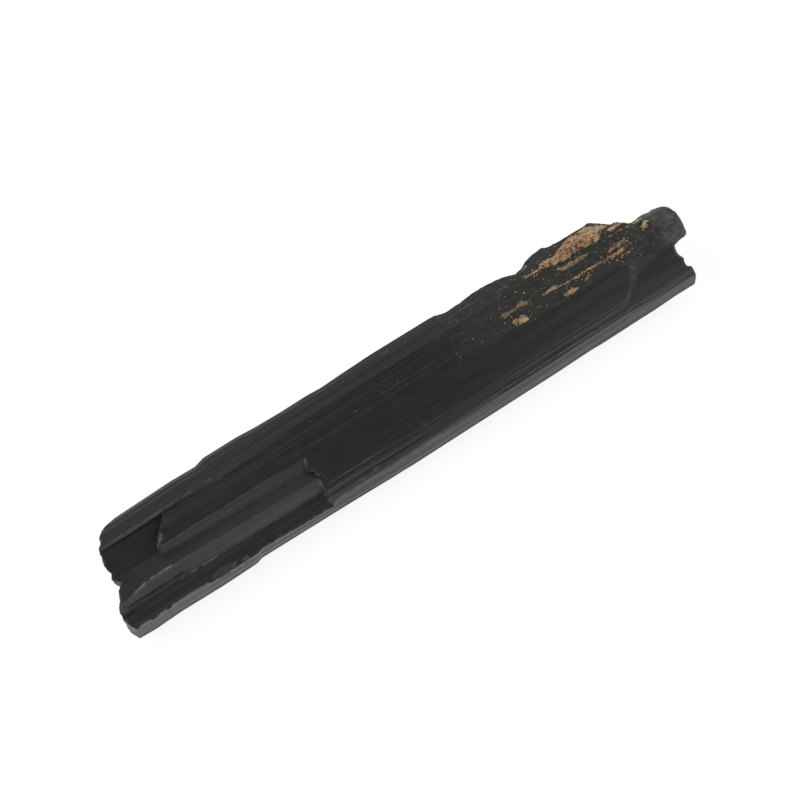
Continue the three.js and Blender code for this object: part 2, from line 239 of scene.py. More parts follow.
def stepped_lean(y, z):
    share = STEPPED_LEAN["front"] + STEPPED_LEAN["added"] * ramp(y, *STEPPED_LEAN["stretch"])
    return share * max(0.0, along(STEPPED_TOP, y) - z)


def crusted_lean(y, z):
    foot = CRUSTED_FOOT["depth"] * (1 - ramp(z, 0, CRUSTED_FOOT["height"]))
    recess = max(0.0, FINGER["reach"] - along(CRUSTED_END, y))
    return foot + recess * ramp(y, *FINGER["side"]) * (1 - ramp(z, *FINGER["underside"]))


STEPPED_HACKLE = 0.6
CRUSTED_HACKLE = 0.3
stepped_end = broken_end(STEPPED_END, rod_low.x, -1, STEPPED_HACKLE, stepped_lean)
crusted_end = broken_end(CRUSTED_END, rod_high.x, 1, CRUSTED_HACKLE, crusted_lean)


def end_ring(section, end):
    return [Vector((end(y, z), y, z)) for y, z in loop_of(section)]


def level_ring(section, outline):
    return [Vector((along(outline, y), y, z)) for y, z in loop_of(section)]


def break_rings(before, after, upper, outline, seed, run):
    """The two rings of a step, a short run apart. Both follow the edge of the upper layer."""
    places = [along(outline, y) + jagged(i, seed) for i, (y, z) in enumerate(loop_of(upper))]
    first = [Vector((x, y, z)) for x, (y, z) in zip(places, loop_of(before))]
    second = [Vector((x + run, y, z)) for x, (y, z) in zip(places, loop_of(after))]
    return first, second


slab_rings = break_rings(recessed, bared_wide, bared_wide, SLAB_START, 3, STEP_RUN["slab"])
layer_rings = break_rings(bared, whole, whole, LAYER_START, 11, STEP_RUN["layer"])
last_rings = break_rings(half_backed, half_narrow, half_backed, LAYER_END, 23, STEP_RUN["last"])

# The rims of both broken ends are chipped away a little on top.
RIM = 0.5
RIM_DROP = 0.15


def chipped(section):
    return {name: (y, z - RIM_DROP * ramp(z, 4, 7)) for name, (y, z) in section.items()}


def rim_ring(section, end, side):
    return [Vector((end(y, z) - side * RIM, y, z)) for y, z in loop_of(section)]


# The rings that the rod is drawn through, each with the number of steps taken to reach it.
WHOLE_BY = [(0.0, 12.0)]
NARROW_BY = [(0.0, 58.9)]
stations = [
    (end_ring(chipped(stepped_tip), stepped_end), 0),
    (rim_ring(stepped_tip, stepped_end, -1), 3),
    (level_ring(recessed, SUNK_END), 22),
    (slab_rings[0], 18),
    (slab_rings[1], 2),
    (layer_rings[0], 66),
    (layer_rings[1], 3),
    (level_ring(whole, WHOLE_BY), 52),
    (level_ring(bevelled, TAPER_START), 92),
    (last_rings[0], 12),
    (last_rings[1], 7),
    (level_ring(narrow, NARROW_BY), 18),
    (rim_ring(narrow, crusted_end, 1), 28),
    (end_ring(chipped(narrow), crusted_end), 3),
]


def extrude_ring(bm, ring, places):
    """Extrudes a ring of vertices to new places, and gives the new ring in the same order."""
    sides = [bm.edges.get((a, b)) for a, b in zip(ring, ring[1:] + ring[:1])]
    made = bmesh.ops.extrude_edge_only(bm, edges=sides)["geom"]
    fresh = {v for v in made if isinstance(v, bmesh.types.BMVert)}
    ahead = [next(e.other_vert(v) for e in v.link_edges if e.other_vert(v) in fresh) for v in ring]
    for vert, place in zip(ahead, places):
        vert.co = place
    return ahead


def close_end(bm, ring, end):
    """Closes a broken end by rings that shrink on the hub and follow the fracture."""
    rim = [v.co.copy() for v in ring]
    for k in range(1, CAP_RINGS):
        share = (1 - k / CAP_RINGS) ** 0.9
        inner = [CAP_HUB + (Vector(co.yz) - CAP_HUB) * share for co in rim]
        ring = extrude_ring(bm, ring, [Vector((end(y, z), y, z)) for y, z in inner])
    bmesh.ops.pointmerge(bm, verts=ring, merge_co=sum((v.co for v in ring), Vector()) / len(ring))


rod_bm = bmesh.new()
first_ring = bmesh.ops.create_circle(rod_bm, segments=sum(EDGES.values()), radius=1)["verts"]
for vert, place in zip(first_ring, stations[0][0]):
    vert.co = place
ring = first_ring
for places, steps in stations[1:]:
    start = [v.co.copy() for v in ring]
    for k in range(1, steps + 1):
        ring = extrude_ring(rod_bm, ring, [a.lerp(b, k / steps) for a, b in zip(start, places)])
close_end(rod_bm, ring, crusted_end)
close_end(rod_bm, first_ring, stepped_end)
bmesh.ops.recalc_face_normals(rod_bm, faces=rod_bm.faces)


# The host rock held the rod behind a line at the front of its broad face. Along the rod, its pits and
# dust come in and go out over these stretches of x.
HELD = {"comes_in": (8, 27), "goes_out": (59.5, 62.5), "front": -1.7, "fade": 0.8}
FRONT_STEPS = [(0.45, 22, 38), (0.7, 50, 55)]  # how far the line steps forward, and between which x


def roughness_at(x, y):
    """How far the surface is pitted and dusty, where the host rock held it."""
    ragged = 1.3 * noise.noise((x * 0.25, y * 0.6, 2))
    started = ramp(x + 3 * ragged, *HELD["comes_in"])
    edge = HELD["front"]
    for step, low, high in FRONT_STEPS:
        edge -= step * ramp(x, low, high)
    behind = ramp(y + 0.45 * ragged, edge, edge + HELD["fade"])
    return started * behind * (1 - ramp(x + ragged, *HELD["goes_out"]))


# How strongly growth ridges show on each stretch of the girth, as a list of (y, strength).
RELIEF = [
    (-9.8, 0.8), (-9.4, 0.8), (-8.4, 0.9), (-6.8, 0.7), (-6.0, 0.2), (-1.0, 0.25), (0.5, 0.7), (4, 0.7),
    (9, 0.75),
]
GROWTH = {"terrace": 0.10, "rib": 0.035, "thread": 0.014}  # how far growth ridges stand up


def growth_ridges(x, y, z):
    """Terraces, ribs and threads that run along the rod, in millimetres."""
    drift = 0.25 * noise.noise((x * 0.04, y * 0.2, z * 0.2))
    raw = 2.6 * noise.noise((x * 0.009, y * 0.8 + drift, z * 0.8))
    terrace = math.floor(raw) + ramp(raw - math.floor(raw), 0.35, 0.6)
    rib = noise.noise((x * 0.02, y * 2.6 + 7, z * 2.6))
    thread = noise.noise((x * 0.05, y * 6.0, z * 6.0 + 3))
    return GROWTH["terrace"] * terrace + GROWTH["rib"] * rib + GROWTH["thread"] * thread


def beside_line(x, y, x0, y0, x1, y1, half_width):
    """How far a place is along a line, from 0 to 1, and how far aside of it, in half widths."""
    share = (x - x0) / (x1 - x0)
    return share, abs(y - y0 - (y1 - y0) * share) / half_width


def single_grooves(x, y):
    """Depth below the surface, in millimetres, of the grooves that stand out."""
    depth = 0.0
    for *line, deep in GROOVES:
        share, aside = beside_line(x, y, *line)
        if 0 < share < 1 and aside < 1:
            depth += deep * (1 - aside * aside) * ramp(min(share, 1 - share), 0, 0.12)
    return depth


def edge_highlight_at(x, y, z):
    """How strongly an edge carries a painted highlight at a place. The highlight comes and goes along
    the edge.
    """
    edge_mark = 0.0
    strip_top = STRIP_TOP["before" if x < STRIP_STEPS_AT else "after"]
    for *line, strength in PAINTED_EDGE_HIGHLIGHTS:
        share, aside = beside_line(x, y, *line)
        if 0 < share < 1 and aside < 1:
            seed = line[1]
            patchy = noise.noise((x * 0.7, seed, 4)) + 0.5 * noise.noise((x * 2.6, seed, 8))
            here = strength * min(1.0, 1.6 * (1 - aside)) * ramp(patchy, -0.35, 0.25)
            edge_mark = max(edge_mark, here * ramp(min(share, 1 - share), 0, 0.08))
    return edge_mark * ramp(z, *strip_top)


def chip_at(x, y):
    """How deep the chips go below the surface at a place, in millimetres."""
    deepest = 0.0
    for x0, y0, half_length, half_width, depth in CHIPS:
        away = ((x - x0) / half_length) ** 2 + ((y - y0) / half_width) ** 2
        away += 0.4 * noise.noise((x * 2.0, y * 2.0, x0))
        deepest = max(deepest, depth * math.sqrt(max(0.0, 1 - away)))
    return deepest


def pits(x, y, z):
    """Hollows and grains where the host rock has come away, in millimetres."""
    hollow = max(0.0, noise.noise((x * 0.5, y * 1.2, z * 1.2)))
    grain = noise.noise((x * 1.6, y * 2.6, z * 2.6)) + 0.5 * noise.noise((x * 3.1, y * 5, z * 5))
    return 0.08 * grain - 0.30 * hollow


# The rounded nose of the crusted end, behind the groove: where it starts, how far it droops towards its
# tip, as a share of its height, and how lumpy it is.
NOSE_START = 60.5
NOSE_DROOP = 0.03
NOSE_LUMPS = 0.32
STEP_WALL_BREAK_SHARE = 0.35  # how much of the break colour, roughness and bump the walls of the steps along the rod get, against the two ends; on these walls the pale break colour is partly painted light that lifts their shade
GLOW = {"middle": (14.5, -4.1), "length": (6, 13), "width": (1.2, 2.4)}  # a faint brown glow on top
TOP_SIDE = 5  # height above which grooves and chips are cut
# The floor that the lost slab has left bare, which is smoother than the rest.
BARE_FLOOR = {"fades_over": (-54, -50), "front": (-1.6, -0.8), "back": (4.0, 4.6), "smoothed": 0.75}

rod_bm.normal_update()
dust_layer, fracture_layer, brown_layer, edge_highlight_layer = (
    rod_bm.verts.layers.float.new(name) for name in ("dust", "fracture", "brown", "edge_highlight")
)
for vert in rod_bm.verts:
    x, y, z = vert.co
    facing = vert.normal
    outwards = Vector((0.0, facing.y, facing.z))
    on_cap = ramp(abs(facing.x), 0.55, 0.85)
    off_floor = ramp(z, 0.0, 1.2)
    dusty = roughness_at(x, y) * ramp(z, 5, 8)
    ridges = growth_ridges(x, y, z) * along(RELIEF, y) * (1 - on_cap)
    smoothed = BARE_FLOOR["smoothed"] * (1 - ramp(x, *BARE_FLOOR["fades_over"]))
    ridges *= 1 - smoothed * ramp(y, *BARE_FLOOR["front"]) * (1 - ramp(y, *BARE_FLOOR["back"]))
    vert.co += outwards * off_floor * (ridges * (1 - 0.6 * dusty) + pits(x, y, z) * dusty)
    chip = 0.0
    if z > TOP_SIDE:
        chip = chip_at(x, y)
        vert.co -= outwards * (single_grooves(x, y) * (1 - dusty) + chip) * (1 - on_cap)
    vert.co.y += along(FRONT_WANDER, x) * ramp(-y, 7, 9.3) + along(BACK_WANDER, x) * ramp(y, 5, 8.5)
    nose = ramp(x, NOSE_START, NOSE_START + 1) * ramp(y, -3.4, -2.6)
    reach = min(max((x - NOSE_START) / (rod_high.x - NOSE_START), 0.0), 1.0)
    vert.co.z -= nose * NOSE_DROOP * max(0.0, z - 3) * (1 - math.sqrt(1 - reach * reach))
    lumps = noise.noise((x * 0.35, y * 0.45, z * 0.45))
    lumps += 0.4 * noise.noise((x * 1.1, y * 1.3, z * 1.3))
    vert.co += outwards * nose * NOSE_LUMPS * lumps
    vert.co.y = min(max(vert.co.y, rod_low.y), rod_high.y)
    vert.co.z = max(vert.co.z, 0.0)

    # Breaks, step walls, the knob and chips are marked as broken. On the step walls and the knob the
    # pale break colour also stands in for light.
    broken_off = ramp(abs(facing.x), 0.3, 0.6)
    broken_off *= STEP_WALL_BREAK_SHARE + (1 - STEP_WALL_BREAK_SHARE) * ramp(abs(x), 56, 59)
    vert[fracture_layer] = max(broken_off, nose * ramp(reach, 0.1, 0.35), 0.8 * ramp(chip, 0.0, 0.06))
    vert[dust_layer] = dusty
    # Pale painted highlights along some edges.
    vert[edge_highlight_layer] = edge_highlight_at(x, y, z)
    glow_x, glow_y = GLOW["middle"]
    glow = (1 - ramp(abs(x - glow_x), *GLOW["length"])) * (1 - ramp(abs(y - glow_y), *GLOW["width"]))
    vert[brown_layer] = glow * ramp(z, 8, 9)
bmesh.ops.scale(rod_bm, vec=(MM, MM, MM), verts=rod_bm.verts)
rod_surface = BVHTree.FromBMesh(rod_bm)

SHARP_FROM = math.radians(38)


def finished_piece(name, bm, material, slot, *replaced):
    """Turns a bmesh into a piece of the object, smooth shaded, riding on its one body."""
    mesh = bpy.data.meshes.new(name)
    bm.to_mesh(mesh)
    bm.free()
    mesh.shade_smooth()
    mesh.set_sharp_from_angle(angle=SHARP_FROM)
    mesh.materials.append(material)
    piece = bpy.data.objects.new(name, mesh)
    bpy.context.scene.collection.objects.link(piece)
    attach(piece, "root")
    if replaced:
        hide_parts(*replaced)
    return piece


def new_finish(name):
    material = bpy.data.materials.new(name)
    material.use_nodes = True
    return material, material.node_tree, material.node_tree.nodes["Principled BSDF"]


def add(tree, kind, inputs, **settings):
    """Adds a node, with its settings, and with its inputs filled by values or by other sockets."""
    made = tree.nodes.new(kind)
    for key, value in settings.items():
        setattr(made, key, value)
    for key, value in inputs.items():
        if isinstance(value, bpy.types.NodeSocket):
            tree.links.new(value, made.inputs[key])
        else:
            made.inputs[key].default_value = value
    return made


def place_on(tree):
    return add(tree, "ShaderNodeTexCoord", {}).outputs["Object"]


def pattern(tree, scale, detail=3.0, roughness=0.55):
    """A noise over the piece. scale is its cycles per metre along the rod, across it and upwards."""
    scaled = add(tree, "ShaderNodeMapping", {"Vector": place_on(tree), "Scale": scale}).outputs[0]
    inputs = {"Vector": scaled, "Scale": 1.0, "Detail": detail, "Roughness": roughness}
    return add(tree, "ShaderNodeTexNoise", inputs).outputs["Fac"]


def spread(tree, value, low, high, to_low=0.0, to_high=1.0):
    inputs = {"Value": value, "From Min": low, "From Max": high, "To Min": to_low, "To Max": to_high}
    return add(tree, "ShaderNodeMapRange", inputs).outputs[0]


def tint(tree, share, plain, changed):
    inputs = {0: share, 6: plain, 7: changed}
    return add(tree, "ShaderNodeMix", inputs, data_type="RGBA").outputs[2]


def attribute(tree, name):
    return add(tree, "ShaderNodeAttribute", {}, attribute_name=name).outputs["Fac"]


def combined(tree, operation, *values):
    inputs = dict(enumerate(values))
    return add(tree, "ShaderNodeMath", inputs, operation=operation).outputs[0]


def product(tree, a, b):
    return combined(tree, "MULTIPLY", a, b)


SCHORL_COLORS = {
    "black": (0.0095, 0.0105, 0.0105, 1), "warm black": (0.0125, 0.013, 0.0115, 1),
    "fresh break": (0.034, 0.034, 0.032, 1), "pale break": (0.112, 0.112, 0.106, 1),
    "paler black": (0.0175, 0.018, 0.017, 1), "dust grain": (0.060, 0.051, 0.036, 1),
    "mottle": (0.034, 0.034, 0.030, 1), "brown glow": (0.0145, 0.0122, 0.0090, 1),
    # The pale colour after crack is a painted highlight for edges.
    "crack": (0.025, 0.024, 0.018, 1), "edge highlight": (0.19, 0.195, 0.17, 1),
}
# One healed crack crosses the rod: the direction across it, its place along that, and half its width.
CRACK = {"across": (1.0, 0.475, 0.0), "at": -0.00175, "half_width": 0.00028, "wander": 0.0006}
PALER_TOWARDS_STEPPED_END = (-0.005, -0.035)  # x over which the black grows paler towards the stepped end

schorl, tree, shader = new_finish("schorl")
dust = attribute(tree, "dust")
fracture = attribute(tree, "fracture")
streaks = pattern(tree, (45, 900, 900), detail=4.0)
threads = pattern(tree, (60, 3200, 3200), detail=3.0, roughness=0.6)
grains = pattern(tree, (2600, 3600, 3600), detail=4.0, roughness=0.65)
patchy = pattern(tree, (420, 620, 620), detail=4.0, roughness=0.6)
mottle = pattern(tree, (900, 1800, 1800), detail=4.0, roughness=0.65)

growth = spread(tree, streaks, 0.35, 0.65)
color = tint(tree, growth, SCHORL_COLORS["black"], SCHORL_COLORS["warm black"])
along_rod = add(tree, "ShaderNodeSeparateXYZ", {"Vector": place_on(tree)}).outputs["X"]
# The black grows paler towards the stepped end.
color = tint(tree, spread(tree, along_rod, *PALER_TOWARDS_STEPPED_END), color, SCHORL_COLORS["paler black"])
# Breaks are grey and hackly. The pale patches are partly painted highlights on the knob, and partly
# painted light over the shade of the step walls.
hackly = spread(tree, patchy, 0.38, 0.62)
broken = tint(tree, hackly, SCHORL_COLORS["fresh break"], SCHORL_COLORS["pale break"])
color = tint(tree, fracture, color, broken)
speckle = product(tree, dust, spread(tree, product(tree, grains, patchy), 0.27, 0.40))
color = tint(tree, speckle, color, SCHORL_COLORS["dust grain"])
color = tint(tree, spread(tree, mottle, 0.50, 0.68, 0.0, 0.35), color, SCHORL_COLORS["mottle"])
color = tint(tree, attribute(tree, "brown"), color, SCHORL_COLORS["brown glow"])

wander = pattern(tree, (200, 260, 200), detail=2.0)
wander = spread(tree, wander, 0, 1, -CRACK["wander"], CRACK["wander"])
inputs = {0: place_on(tree), 1: CRACK["across"]}
crossing = add(tree, "ShaderNodeVectorMath", inputs, operation="DOT_PRODUCT").outputs["Value"]
crossing = combined(tree, "ADD", crossing, wander)
on_crack = combined(tree, "COMPARE", crossing, CRACK["at"], CRACK["half_width"])
faded = spread(tree, pattern(tree, (500, 700, 500), detail=2.0), 0.4, 0.6, 0.1, 0.9)
color = tint(tree, product(tree, on_crack, faded), color, SCHORL_COLORS["crack"])
# Painted highlights: pale lines along edges.
color = tint(tree, attribute(tree, "edge_highlight"), color, SCHORL_COLORS["edge highlight"])
tree.links.new(color, shader.inputs["Base Color"])

shine = spread(tree, combined(tree, "ADD", streaks, patchy), 0.7, 1.3, 0.28, 0.44)
shine = combined(tree, "ADD", shine, product(tree, dust, 0.25))
shine = combined(tree, "ADD", shine, product(tree, fracture, 0.2))
tree.links.new(shine, shader.inputs["Roughness"])
shader.inputs["IOR"].default_value = 1.63
ribbed = add(tree, "ShaderNodeBump", {"Height": threads, "Distance": 0.00003, "Strength": 0.6})
coarse = product(tree, grains, combined(tree, "MAXIMUM", dust, fracture))
inputs = {"Height": coarse, "Distance": 0.00013, "Normal": ribbed.outputs[0]}
rugged = add(tree, "ShaderNodeBump", inputs)
tree.links.new(rugged.outputs[0], shader.inputs["Normal"])

finished_piece("tourmaline_rod", rod_bm, schorl, "black_tourmaline", "tourmaline_crystal")

# ---- The matrix crusts ----------------------------------------------------------------------------
# What is left of the host rock: thin crusts of tan feldspar, granular and stained orange by iron.
# They are grown onto the rod, thickest in the middle and feathering out into crumbs at the edges.

CRUST_PITCH = 0.11
CRUST_ROOT = 0.35  # how far a crust reaches down into the rod's surface
# Each crust as patches, and each patch as its thickness and its outline from above, as (x, y).
CRUSTS = {
    "back_edge": [
        (0.55, [
            (37.2, 5.5), (39.9, 4.7), (42.7, 4.2), (44.8, 4.5), (48.4, 4.0), (50.8, 4.1), (51.9, 5.1),
            (54.1, 5.9), (53.1, 6.9), (51.8, 7.7), (50.7, 8.3), (48.2, 8.5), (45.1, 7.9), (41.5, 6.5),
            (40.0, 6.6), (38.0, 6.5),
        ]),
        (0.2, [(33.2, 5.6), (34.8, 5.9), (37.4, 5.8), (37.4, 5.3), (34.7, 5.3)]),
        (0.3, [(33.5, 7.2), (35.8, 8.1), (36.9, 8.1), (36.1, 7.4), (34.2, 7.0)]),
        (0.16, [
            (40.0, 3.9), (41.0, 2.9), (43.0, 2.6), (46.1, 2.7), (47.6, 3.2), (45.9, 3.7), (43.0, 3.6),
        ]),
    ],
    "back_tail": [
        (0.35, [(52.9, 4.9), (53.9, 5.3), (56.0, 5.3), (57.2, 5.0), (56.4, 4.4), (53.2, 4.1)]),
        (0.18, [(52.4, 3.7), (54.0, 3.95), (57.5, 3.85), (59.6, 3.6), (57.0, 3.4), (53.5, 3.35)]),
        (0.3, [(57.4, 4.7), (59.2, 4.6), (61.6, 4.2), (60.6, 3.8), (58.6, 3.8)]),
    ],
    "seam": [
        (0.25, [
            (32.2, 1.2), (34.8, 1.3), (37.6, 1.6), (39.4, 1.0), (44.5, 0.9), (48.6, 0.9), (48.6, 0.3),
            (44.5, 0.5), (39.4, 0.5), (38.0, 0.8), (36.4, 0.8),
        ]),
    ],
    "seam_lens": [
        (0.4, [
            (48.9, 0.85), (51.0, 0.8), (54.2, 0.95), (57.4, 0.8), (55.0, 0.4), (54.0, 0.0),
            (52.2, -0.2), (50.5, -0.1), (48.9, 0.2),
        ]),
        (0.3, [
            (50.0, 1.15), (51.4, 1.8), (52.8, 2.2), (54.4, 1.9), (56.6, 1.1), (54.2, 1.1), (52.2, 1.05),
        ]),
        (0.15, [(51.6, -0.5), (52.4, -0.3), (54.6, -0.3), (54.4, -0.7), (52.8, -0.8)]),
    ],
    "grey_patch": [
        (0.28, [
            (24.8, 1.7), (26.3, 2.2), (27.8, 1.8), (29.3, 2.1), (30.4, 2.6), (31.8, 1.6), (31.3, 1.0),
            (28.4, 1.2), (26.0, 1.0),
        ]),
    ],
    "round_patch": [
        (0.45, [(26.5, -0.3), (27.4, 0.3), (29.4, 0.2), (30.3, -1.0), (29.7, -1.6), (27.7, -1.4)]),
    ],
    "low_patch": [(0.35, [(38.2, -1.1), (39.0, -0.7), (40.5, -0.5), (41.8, -1.2), (39.8, -1.7)])],
    "small_patch": [(0.35, [(43.5, -0.7), (44.4, 0.0), (45.2, 0.2), (45.3, -0.4), (44.4, -1.0)])],
    "end_patch": [
        (0.4, [(59.2, 2.5), (59.9, 3.0), (60.9, 3.3), (61.7, 2.7), (61.2, 1.9), (59.8, 1.6)]),
    ],
}
GREYED = {"grey_patch": 0.7, "seam_lens": 0.2, "seam": 0.1}  # how far a crust has lost its rusty colour
FRONT_STREAK = {"grey": 0.55, "up_to": (3.6, 4.0)}  # the streak in front of the back crust is grey too
RUST_CLUMP = {"middle": (45.6, 5.3), "half": (2.0, 0.9)}

FELDSPAR_COLORS = {
    "tan": (0.41, 0.21, 0.085, 1), "pale": (0.72, 0.51, 0.30, 1), "rust": (0.22, 0.09, 0.035, 1),
    "rust clump": (0.25, 0.105, 0.045, 1), "grain": (0.82, 0.67, 0.47, 1),
    "gap": (0.045, 0.036, 0.028, 1), "grey": (0.17, 0.14, 0.095, 1),
    "thin edge": (0.05, 0.042, 0.03, 1),
}

feldspar, tree, shader = new_finish("iron_stained_feldspar")
blotches = pattern(tree, (330, 520, 520), detail=4.0, roughness=0.6)
grains = pattern(tree, (2800, 3400, 3400), detail=3.0, roughness=0.7)
rust = pattern(tree, (420, 900, 900), detail=5.0, roughness=0.65)
gaps = pattern(tree, (1100, 1500, 1500), detail=3.0)
color = tint(tree, spread(tree, blotches, 0.42, 0.56), FELDSPAR_COLORS["tan"], FELDSPAR_COLORS["pale"])
color = tint(tree, spread(tree, rust, 0.53, 0.60), color, FELDSPAR_COLORS["rust"])
stain = product(tree, attribute(tree, "rusty"), spread(tree, gaps, 0.60, 0.46))
color = tint(tree, stain, color, FELDSPAR_COLORS["rust clump"])
color = tint(tree, spread(tree, grains, 0.54, 0.62), color, FELDSPAR_COLORS["grain"])
color = tint(tree, spread(tree, gaps, 0.42, 0.36), color, FELDSPAR_COLORS["gap"])
color = tint(tree, attribute(tree, "grey"), color, FELDSPAR_COLORS["grey"])
edge_mark = product(tree, attribute(tree, "thin"), spread(tree, rust, 0.42, 0.52))
color = tint(tree, edge_mark, color, FELDSPAR_COLORS["thin edge"])
tree.links.new(color, shader.inputs["Base Color"])
shader.inputs["Roughness"].default_value = 0.75
rugged = add(tree, "ShaderNodeBump", {"Height": grains, "Distance": 0.00015})
tree.links.new(rugged.outputs[0], shader.inputs["Normal"])


def inside_by(outline, x, y):
    """How far a place is inside a closed outline, in millimetres, and below zero outside it."""
    nearest, inside = 1e9, False
    for (x0, y0), (x1, y1) in zip(outline, outline[1:] + outline[:1]):
        share = ((x - x0) * (x1 - x0) + (y - y0) * (y1 - y0)) / ((x1 - x0) ** 2 + (y1 - y0) ** 2)
        share = min(max(share, 0.0), 1.0)
        nearest = min(nearest, math.hypot(x - x0 - share * (x1 - x0), y - y0 - share * (y1 - y0)))
        if (y0 > y) != (y1 > y) and x < x0 + (x1 - x0) * (y - y0) / (y1 - y0):
            inside = not inside
    return nearest if inside else -nearest


def surface_z(x, y):
    """Height of the rod's surface over a place, in millimetres, or None beside it."""
    hit = rod_surface.ray_cast(Vector((x, y, 30)) * MM, Vector((0, 0, -1)))[0]
    return hit.z / MM if hit else None


def lay_crust(bm, outline, thickness, seed):
    """Adds a granular sheet that follows the rod's surface inside a ragged outline."""
    xs, ys = [p[0] for p in outline], [p[1] for p in outline]
    middle = Vector(((min(xs) + max(xs)) / 2, (min(ys) + max(ys)) / 2, 0))
    half = Vector((max(xs) - min(xs) + 0.9, max(ys) - min(ys) + 0.9, 0)) / 2
    sheet = bmesh.ops.create_grid(
        bm, x_segments=int(2 * half.x / CRUST_PITCH), y_segments=int(2 * half.y / CRUST_PITCH), size=1,
        matrix=Matrix.Translation(middle) @ Matrix.Diagonal((half.x, half.y, 1, 1)),
    )["verts"]
    bare = []
    for vert in sheet:
        x, y, _ = vert.co
        inner = inside_by(outline, x, y) + 0.30 * noise.noise((x * 1.1, y * 2.4, seed))
        inner += 0.20 * noise.noise((x * 3.2, y * 4.4, seed + 3))
        floor = surface_z(x, y)
        if inner < 0 or floor is None:
            bare.append(vert)
            continue
        lump = 0.6 + 0.7 * noise.noise((x * 0.7, y * 1.2, seed))
        lump += 0.5 * noise.noise((x * 2.0, y * 2.6, seed))
        grain = 0.16 * noise.noise((x * 4.0, y * 4.8, seed + 7))
        grain += 0.08 * noise.noise((x * 8, y * 9, seed))
        body = thickness * ramp(inner, -0.1, 0.6) * max(0.12, lump)
        vert.co.z = floor + body + grain * ramp(inner, 0, 0.3)
        vert[thin_layer] = 1 - ramp(inner, 0.0, 0.32)
        (clump_x, clump_y), (half_x, half_y) = RUST_CLUMP["middle"], RUST_CLUMP["half"]
        from_clump = ((x - clump_x) / half_x) ** 2 + ((y - clump_y) / half_y) ** 2
        vert[rusty_layer] = 1 - ramp(from_clump, 0.4, 1.5)
    bmesh.ops.delete(bm, geom=bare, context="VERTS")


for crust, patches in CRUSTS.items():
    crust_bm = bmesh.new()
    thin_layer = crust_bm.verts.layers.float.new("thin")
    grey_layer = crust_bm.verts.layers.float.new("grey")
    rusty_layer = crust_bm.verts.layers.float.new("rusty")
    for thickness, outline in patches:
        lay_crust(crust_bm, outline, thickness, outline[0][0])
    for vert in crust_bm.verts:
        vert[grey_layer] = GREYED.get(crust, 0.0)
        if crust == "back_edge":
            vert[grey_layer] = FRONT_STREAK["grey"] * (1 - ramp(vert.co.y, *FRONT_STREAK["up_to"]))
    bmesh.ops.solidify(crust_bm, geom=crust_bm.faces, thickness=CRUST_ROOT)
    bmesh.ops.recalc_face_normals(crust_bm, faces=crust_bm.faces)
    bmesh.ops.scale(crust_bm, vec=(MM, MM, MM), verts=crust_bm.verts)
    finished_piece(f"{crust}_crust", crust_bm, feldspar, "tan_matrix", f"matrix_crust_{crust}")

# ---- Mica flakes ----------------------------------------------------------------------------------
# Tiny plates of pale mica from the host rock, still stuck to the rod where it is pitted, and a few
# strays elsewhere. Each is a thin six-sided plate that lies roughly on the surface.

MICA_COUNT = 430
STRAY_COUNT = 22
MICA_RADIUS = (0.035, 0.085)  # the smallest, and how much more the largest has
MICA_THICKNESS = 0.05
MICA_COLORS = {"dull": (0.34, 0.32, 0.28, 1), "bright": (0.75, 0.73, 0.68, 1)}

mica, tree, shader = new_finish("pale_mica")
sheen = pattern(tree, (4000, 4000, 4000), detail=1.0)
color = tint(tree, spread(tree, sheen, 0.35, 0.65), MICA_COLORS["dull"], MICA_COLORS["bright"])
tree.links.new(color, shader.inputs["Base Color"])
shader.inputs["Roughness"].default_value = 0.25

chance = random.Random(41)


def lie_on_rod(x, y, tilt):
    """A matrix that puts a flat thing on the rod at a place, turned at random and tilted a little."""
    hit, facing, _, _ = rod_surface.ray_cast(Vector((x, y, 30)) * MM, Vector((0, 0, -1)))
    if hit is None:
        return None
    lean = Vector([chance.uniform(-tilt, tilt) for _ in range(3)])
    turn = Matrix.Rotation(chance.uniform(0, math.tau), 4, "Z")
    return Matrix.Translation(hit) @ (facing + lean).to_track_quat("Z", "X").to_matrix().to_4x4() @ turn


mica_bm = bmesh.new()
placed = 0
while placed < MICA_COUNT + STRAY_COUNT:
    x, y = chance.uniform(-60, 62), chance.uniform(-2.0, 8.6)
    stray = placed >= MICA_COUNT
    if not stray and chance.random() > roughness_at(x, y):
        continue
    spot = lie_on_rod(x, y, 0.45)
    if spot is None:
        continue
    radius = (MICA_RADIUS[0] + MICA_RADIUS[1] * chance.random() ** 2) * MM
    bmesh.ops.create_cone(
        mica_bm, cap_ends=True, segments=6,
        radius1=radius, radius2=radius * 0.85, depth=MICA_THICKNESS * MM,
        matrix=spot @ Matrix.Diagonal((1, chance.uniform(0.45, 0.9), 1, 1)),
    )
    placed += 1
finished_piece("mica_flakes", mica_bm, mica, "tan_matrix")

# ---- Feldspar crumbs ------------------------------------------------------------------------------
# Loose-looking grains of the same tan feldspar as the crusts, left behind around their ragged edges.
# Each is a squat angular grain, half sunk in the pits of the rod.

CRUMB_COUNT = 260
CRUMB_RADIUS = (0.06, 0.16)  # the smallest, and how much more the largest has
CRUMB_SCATTER = (1.1, 0.55)  # how far the crumbs stray from a crust's corners, along and across

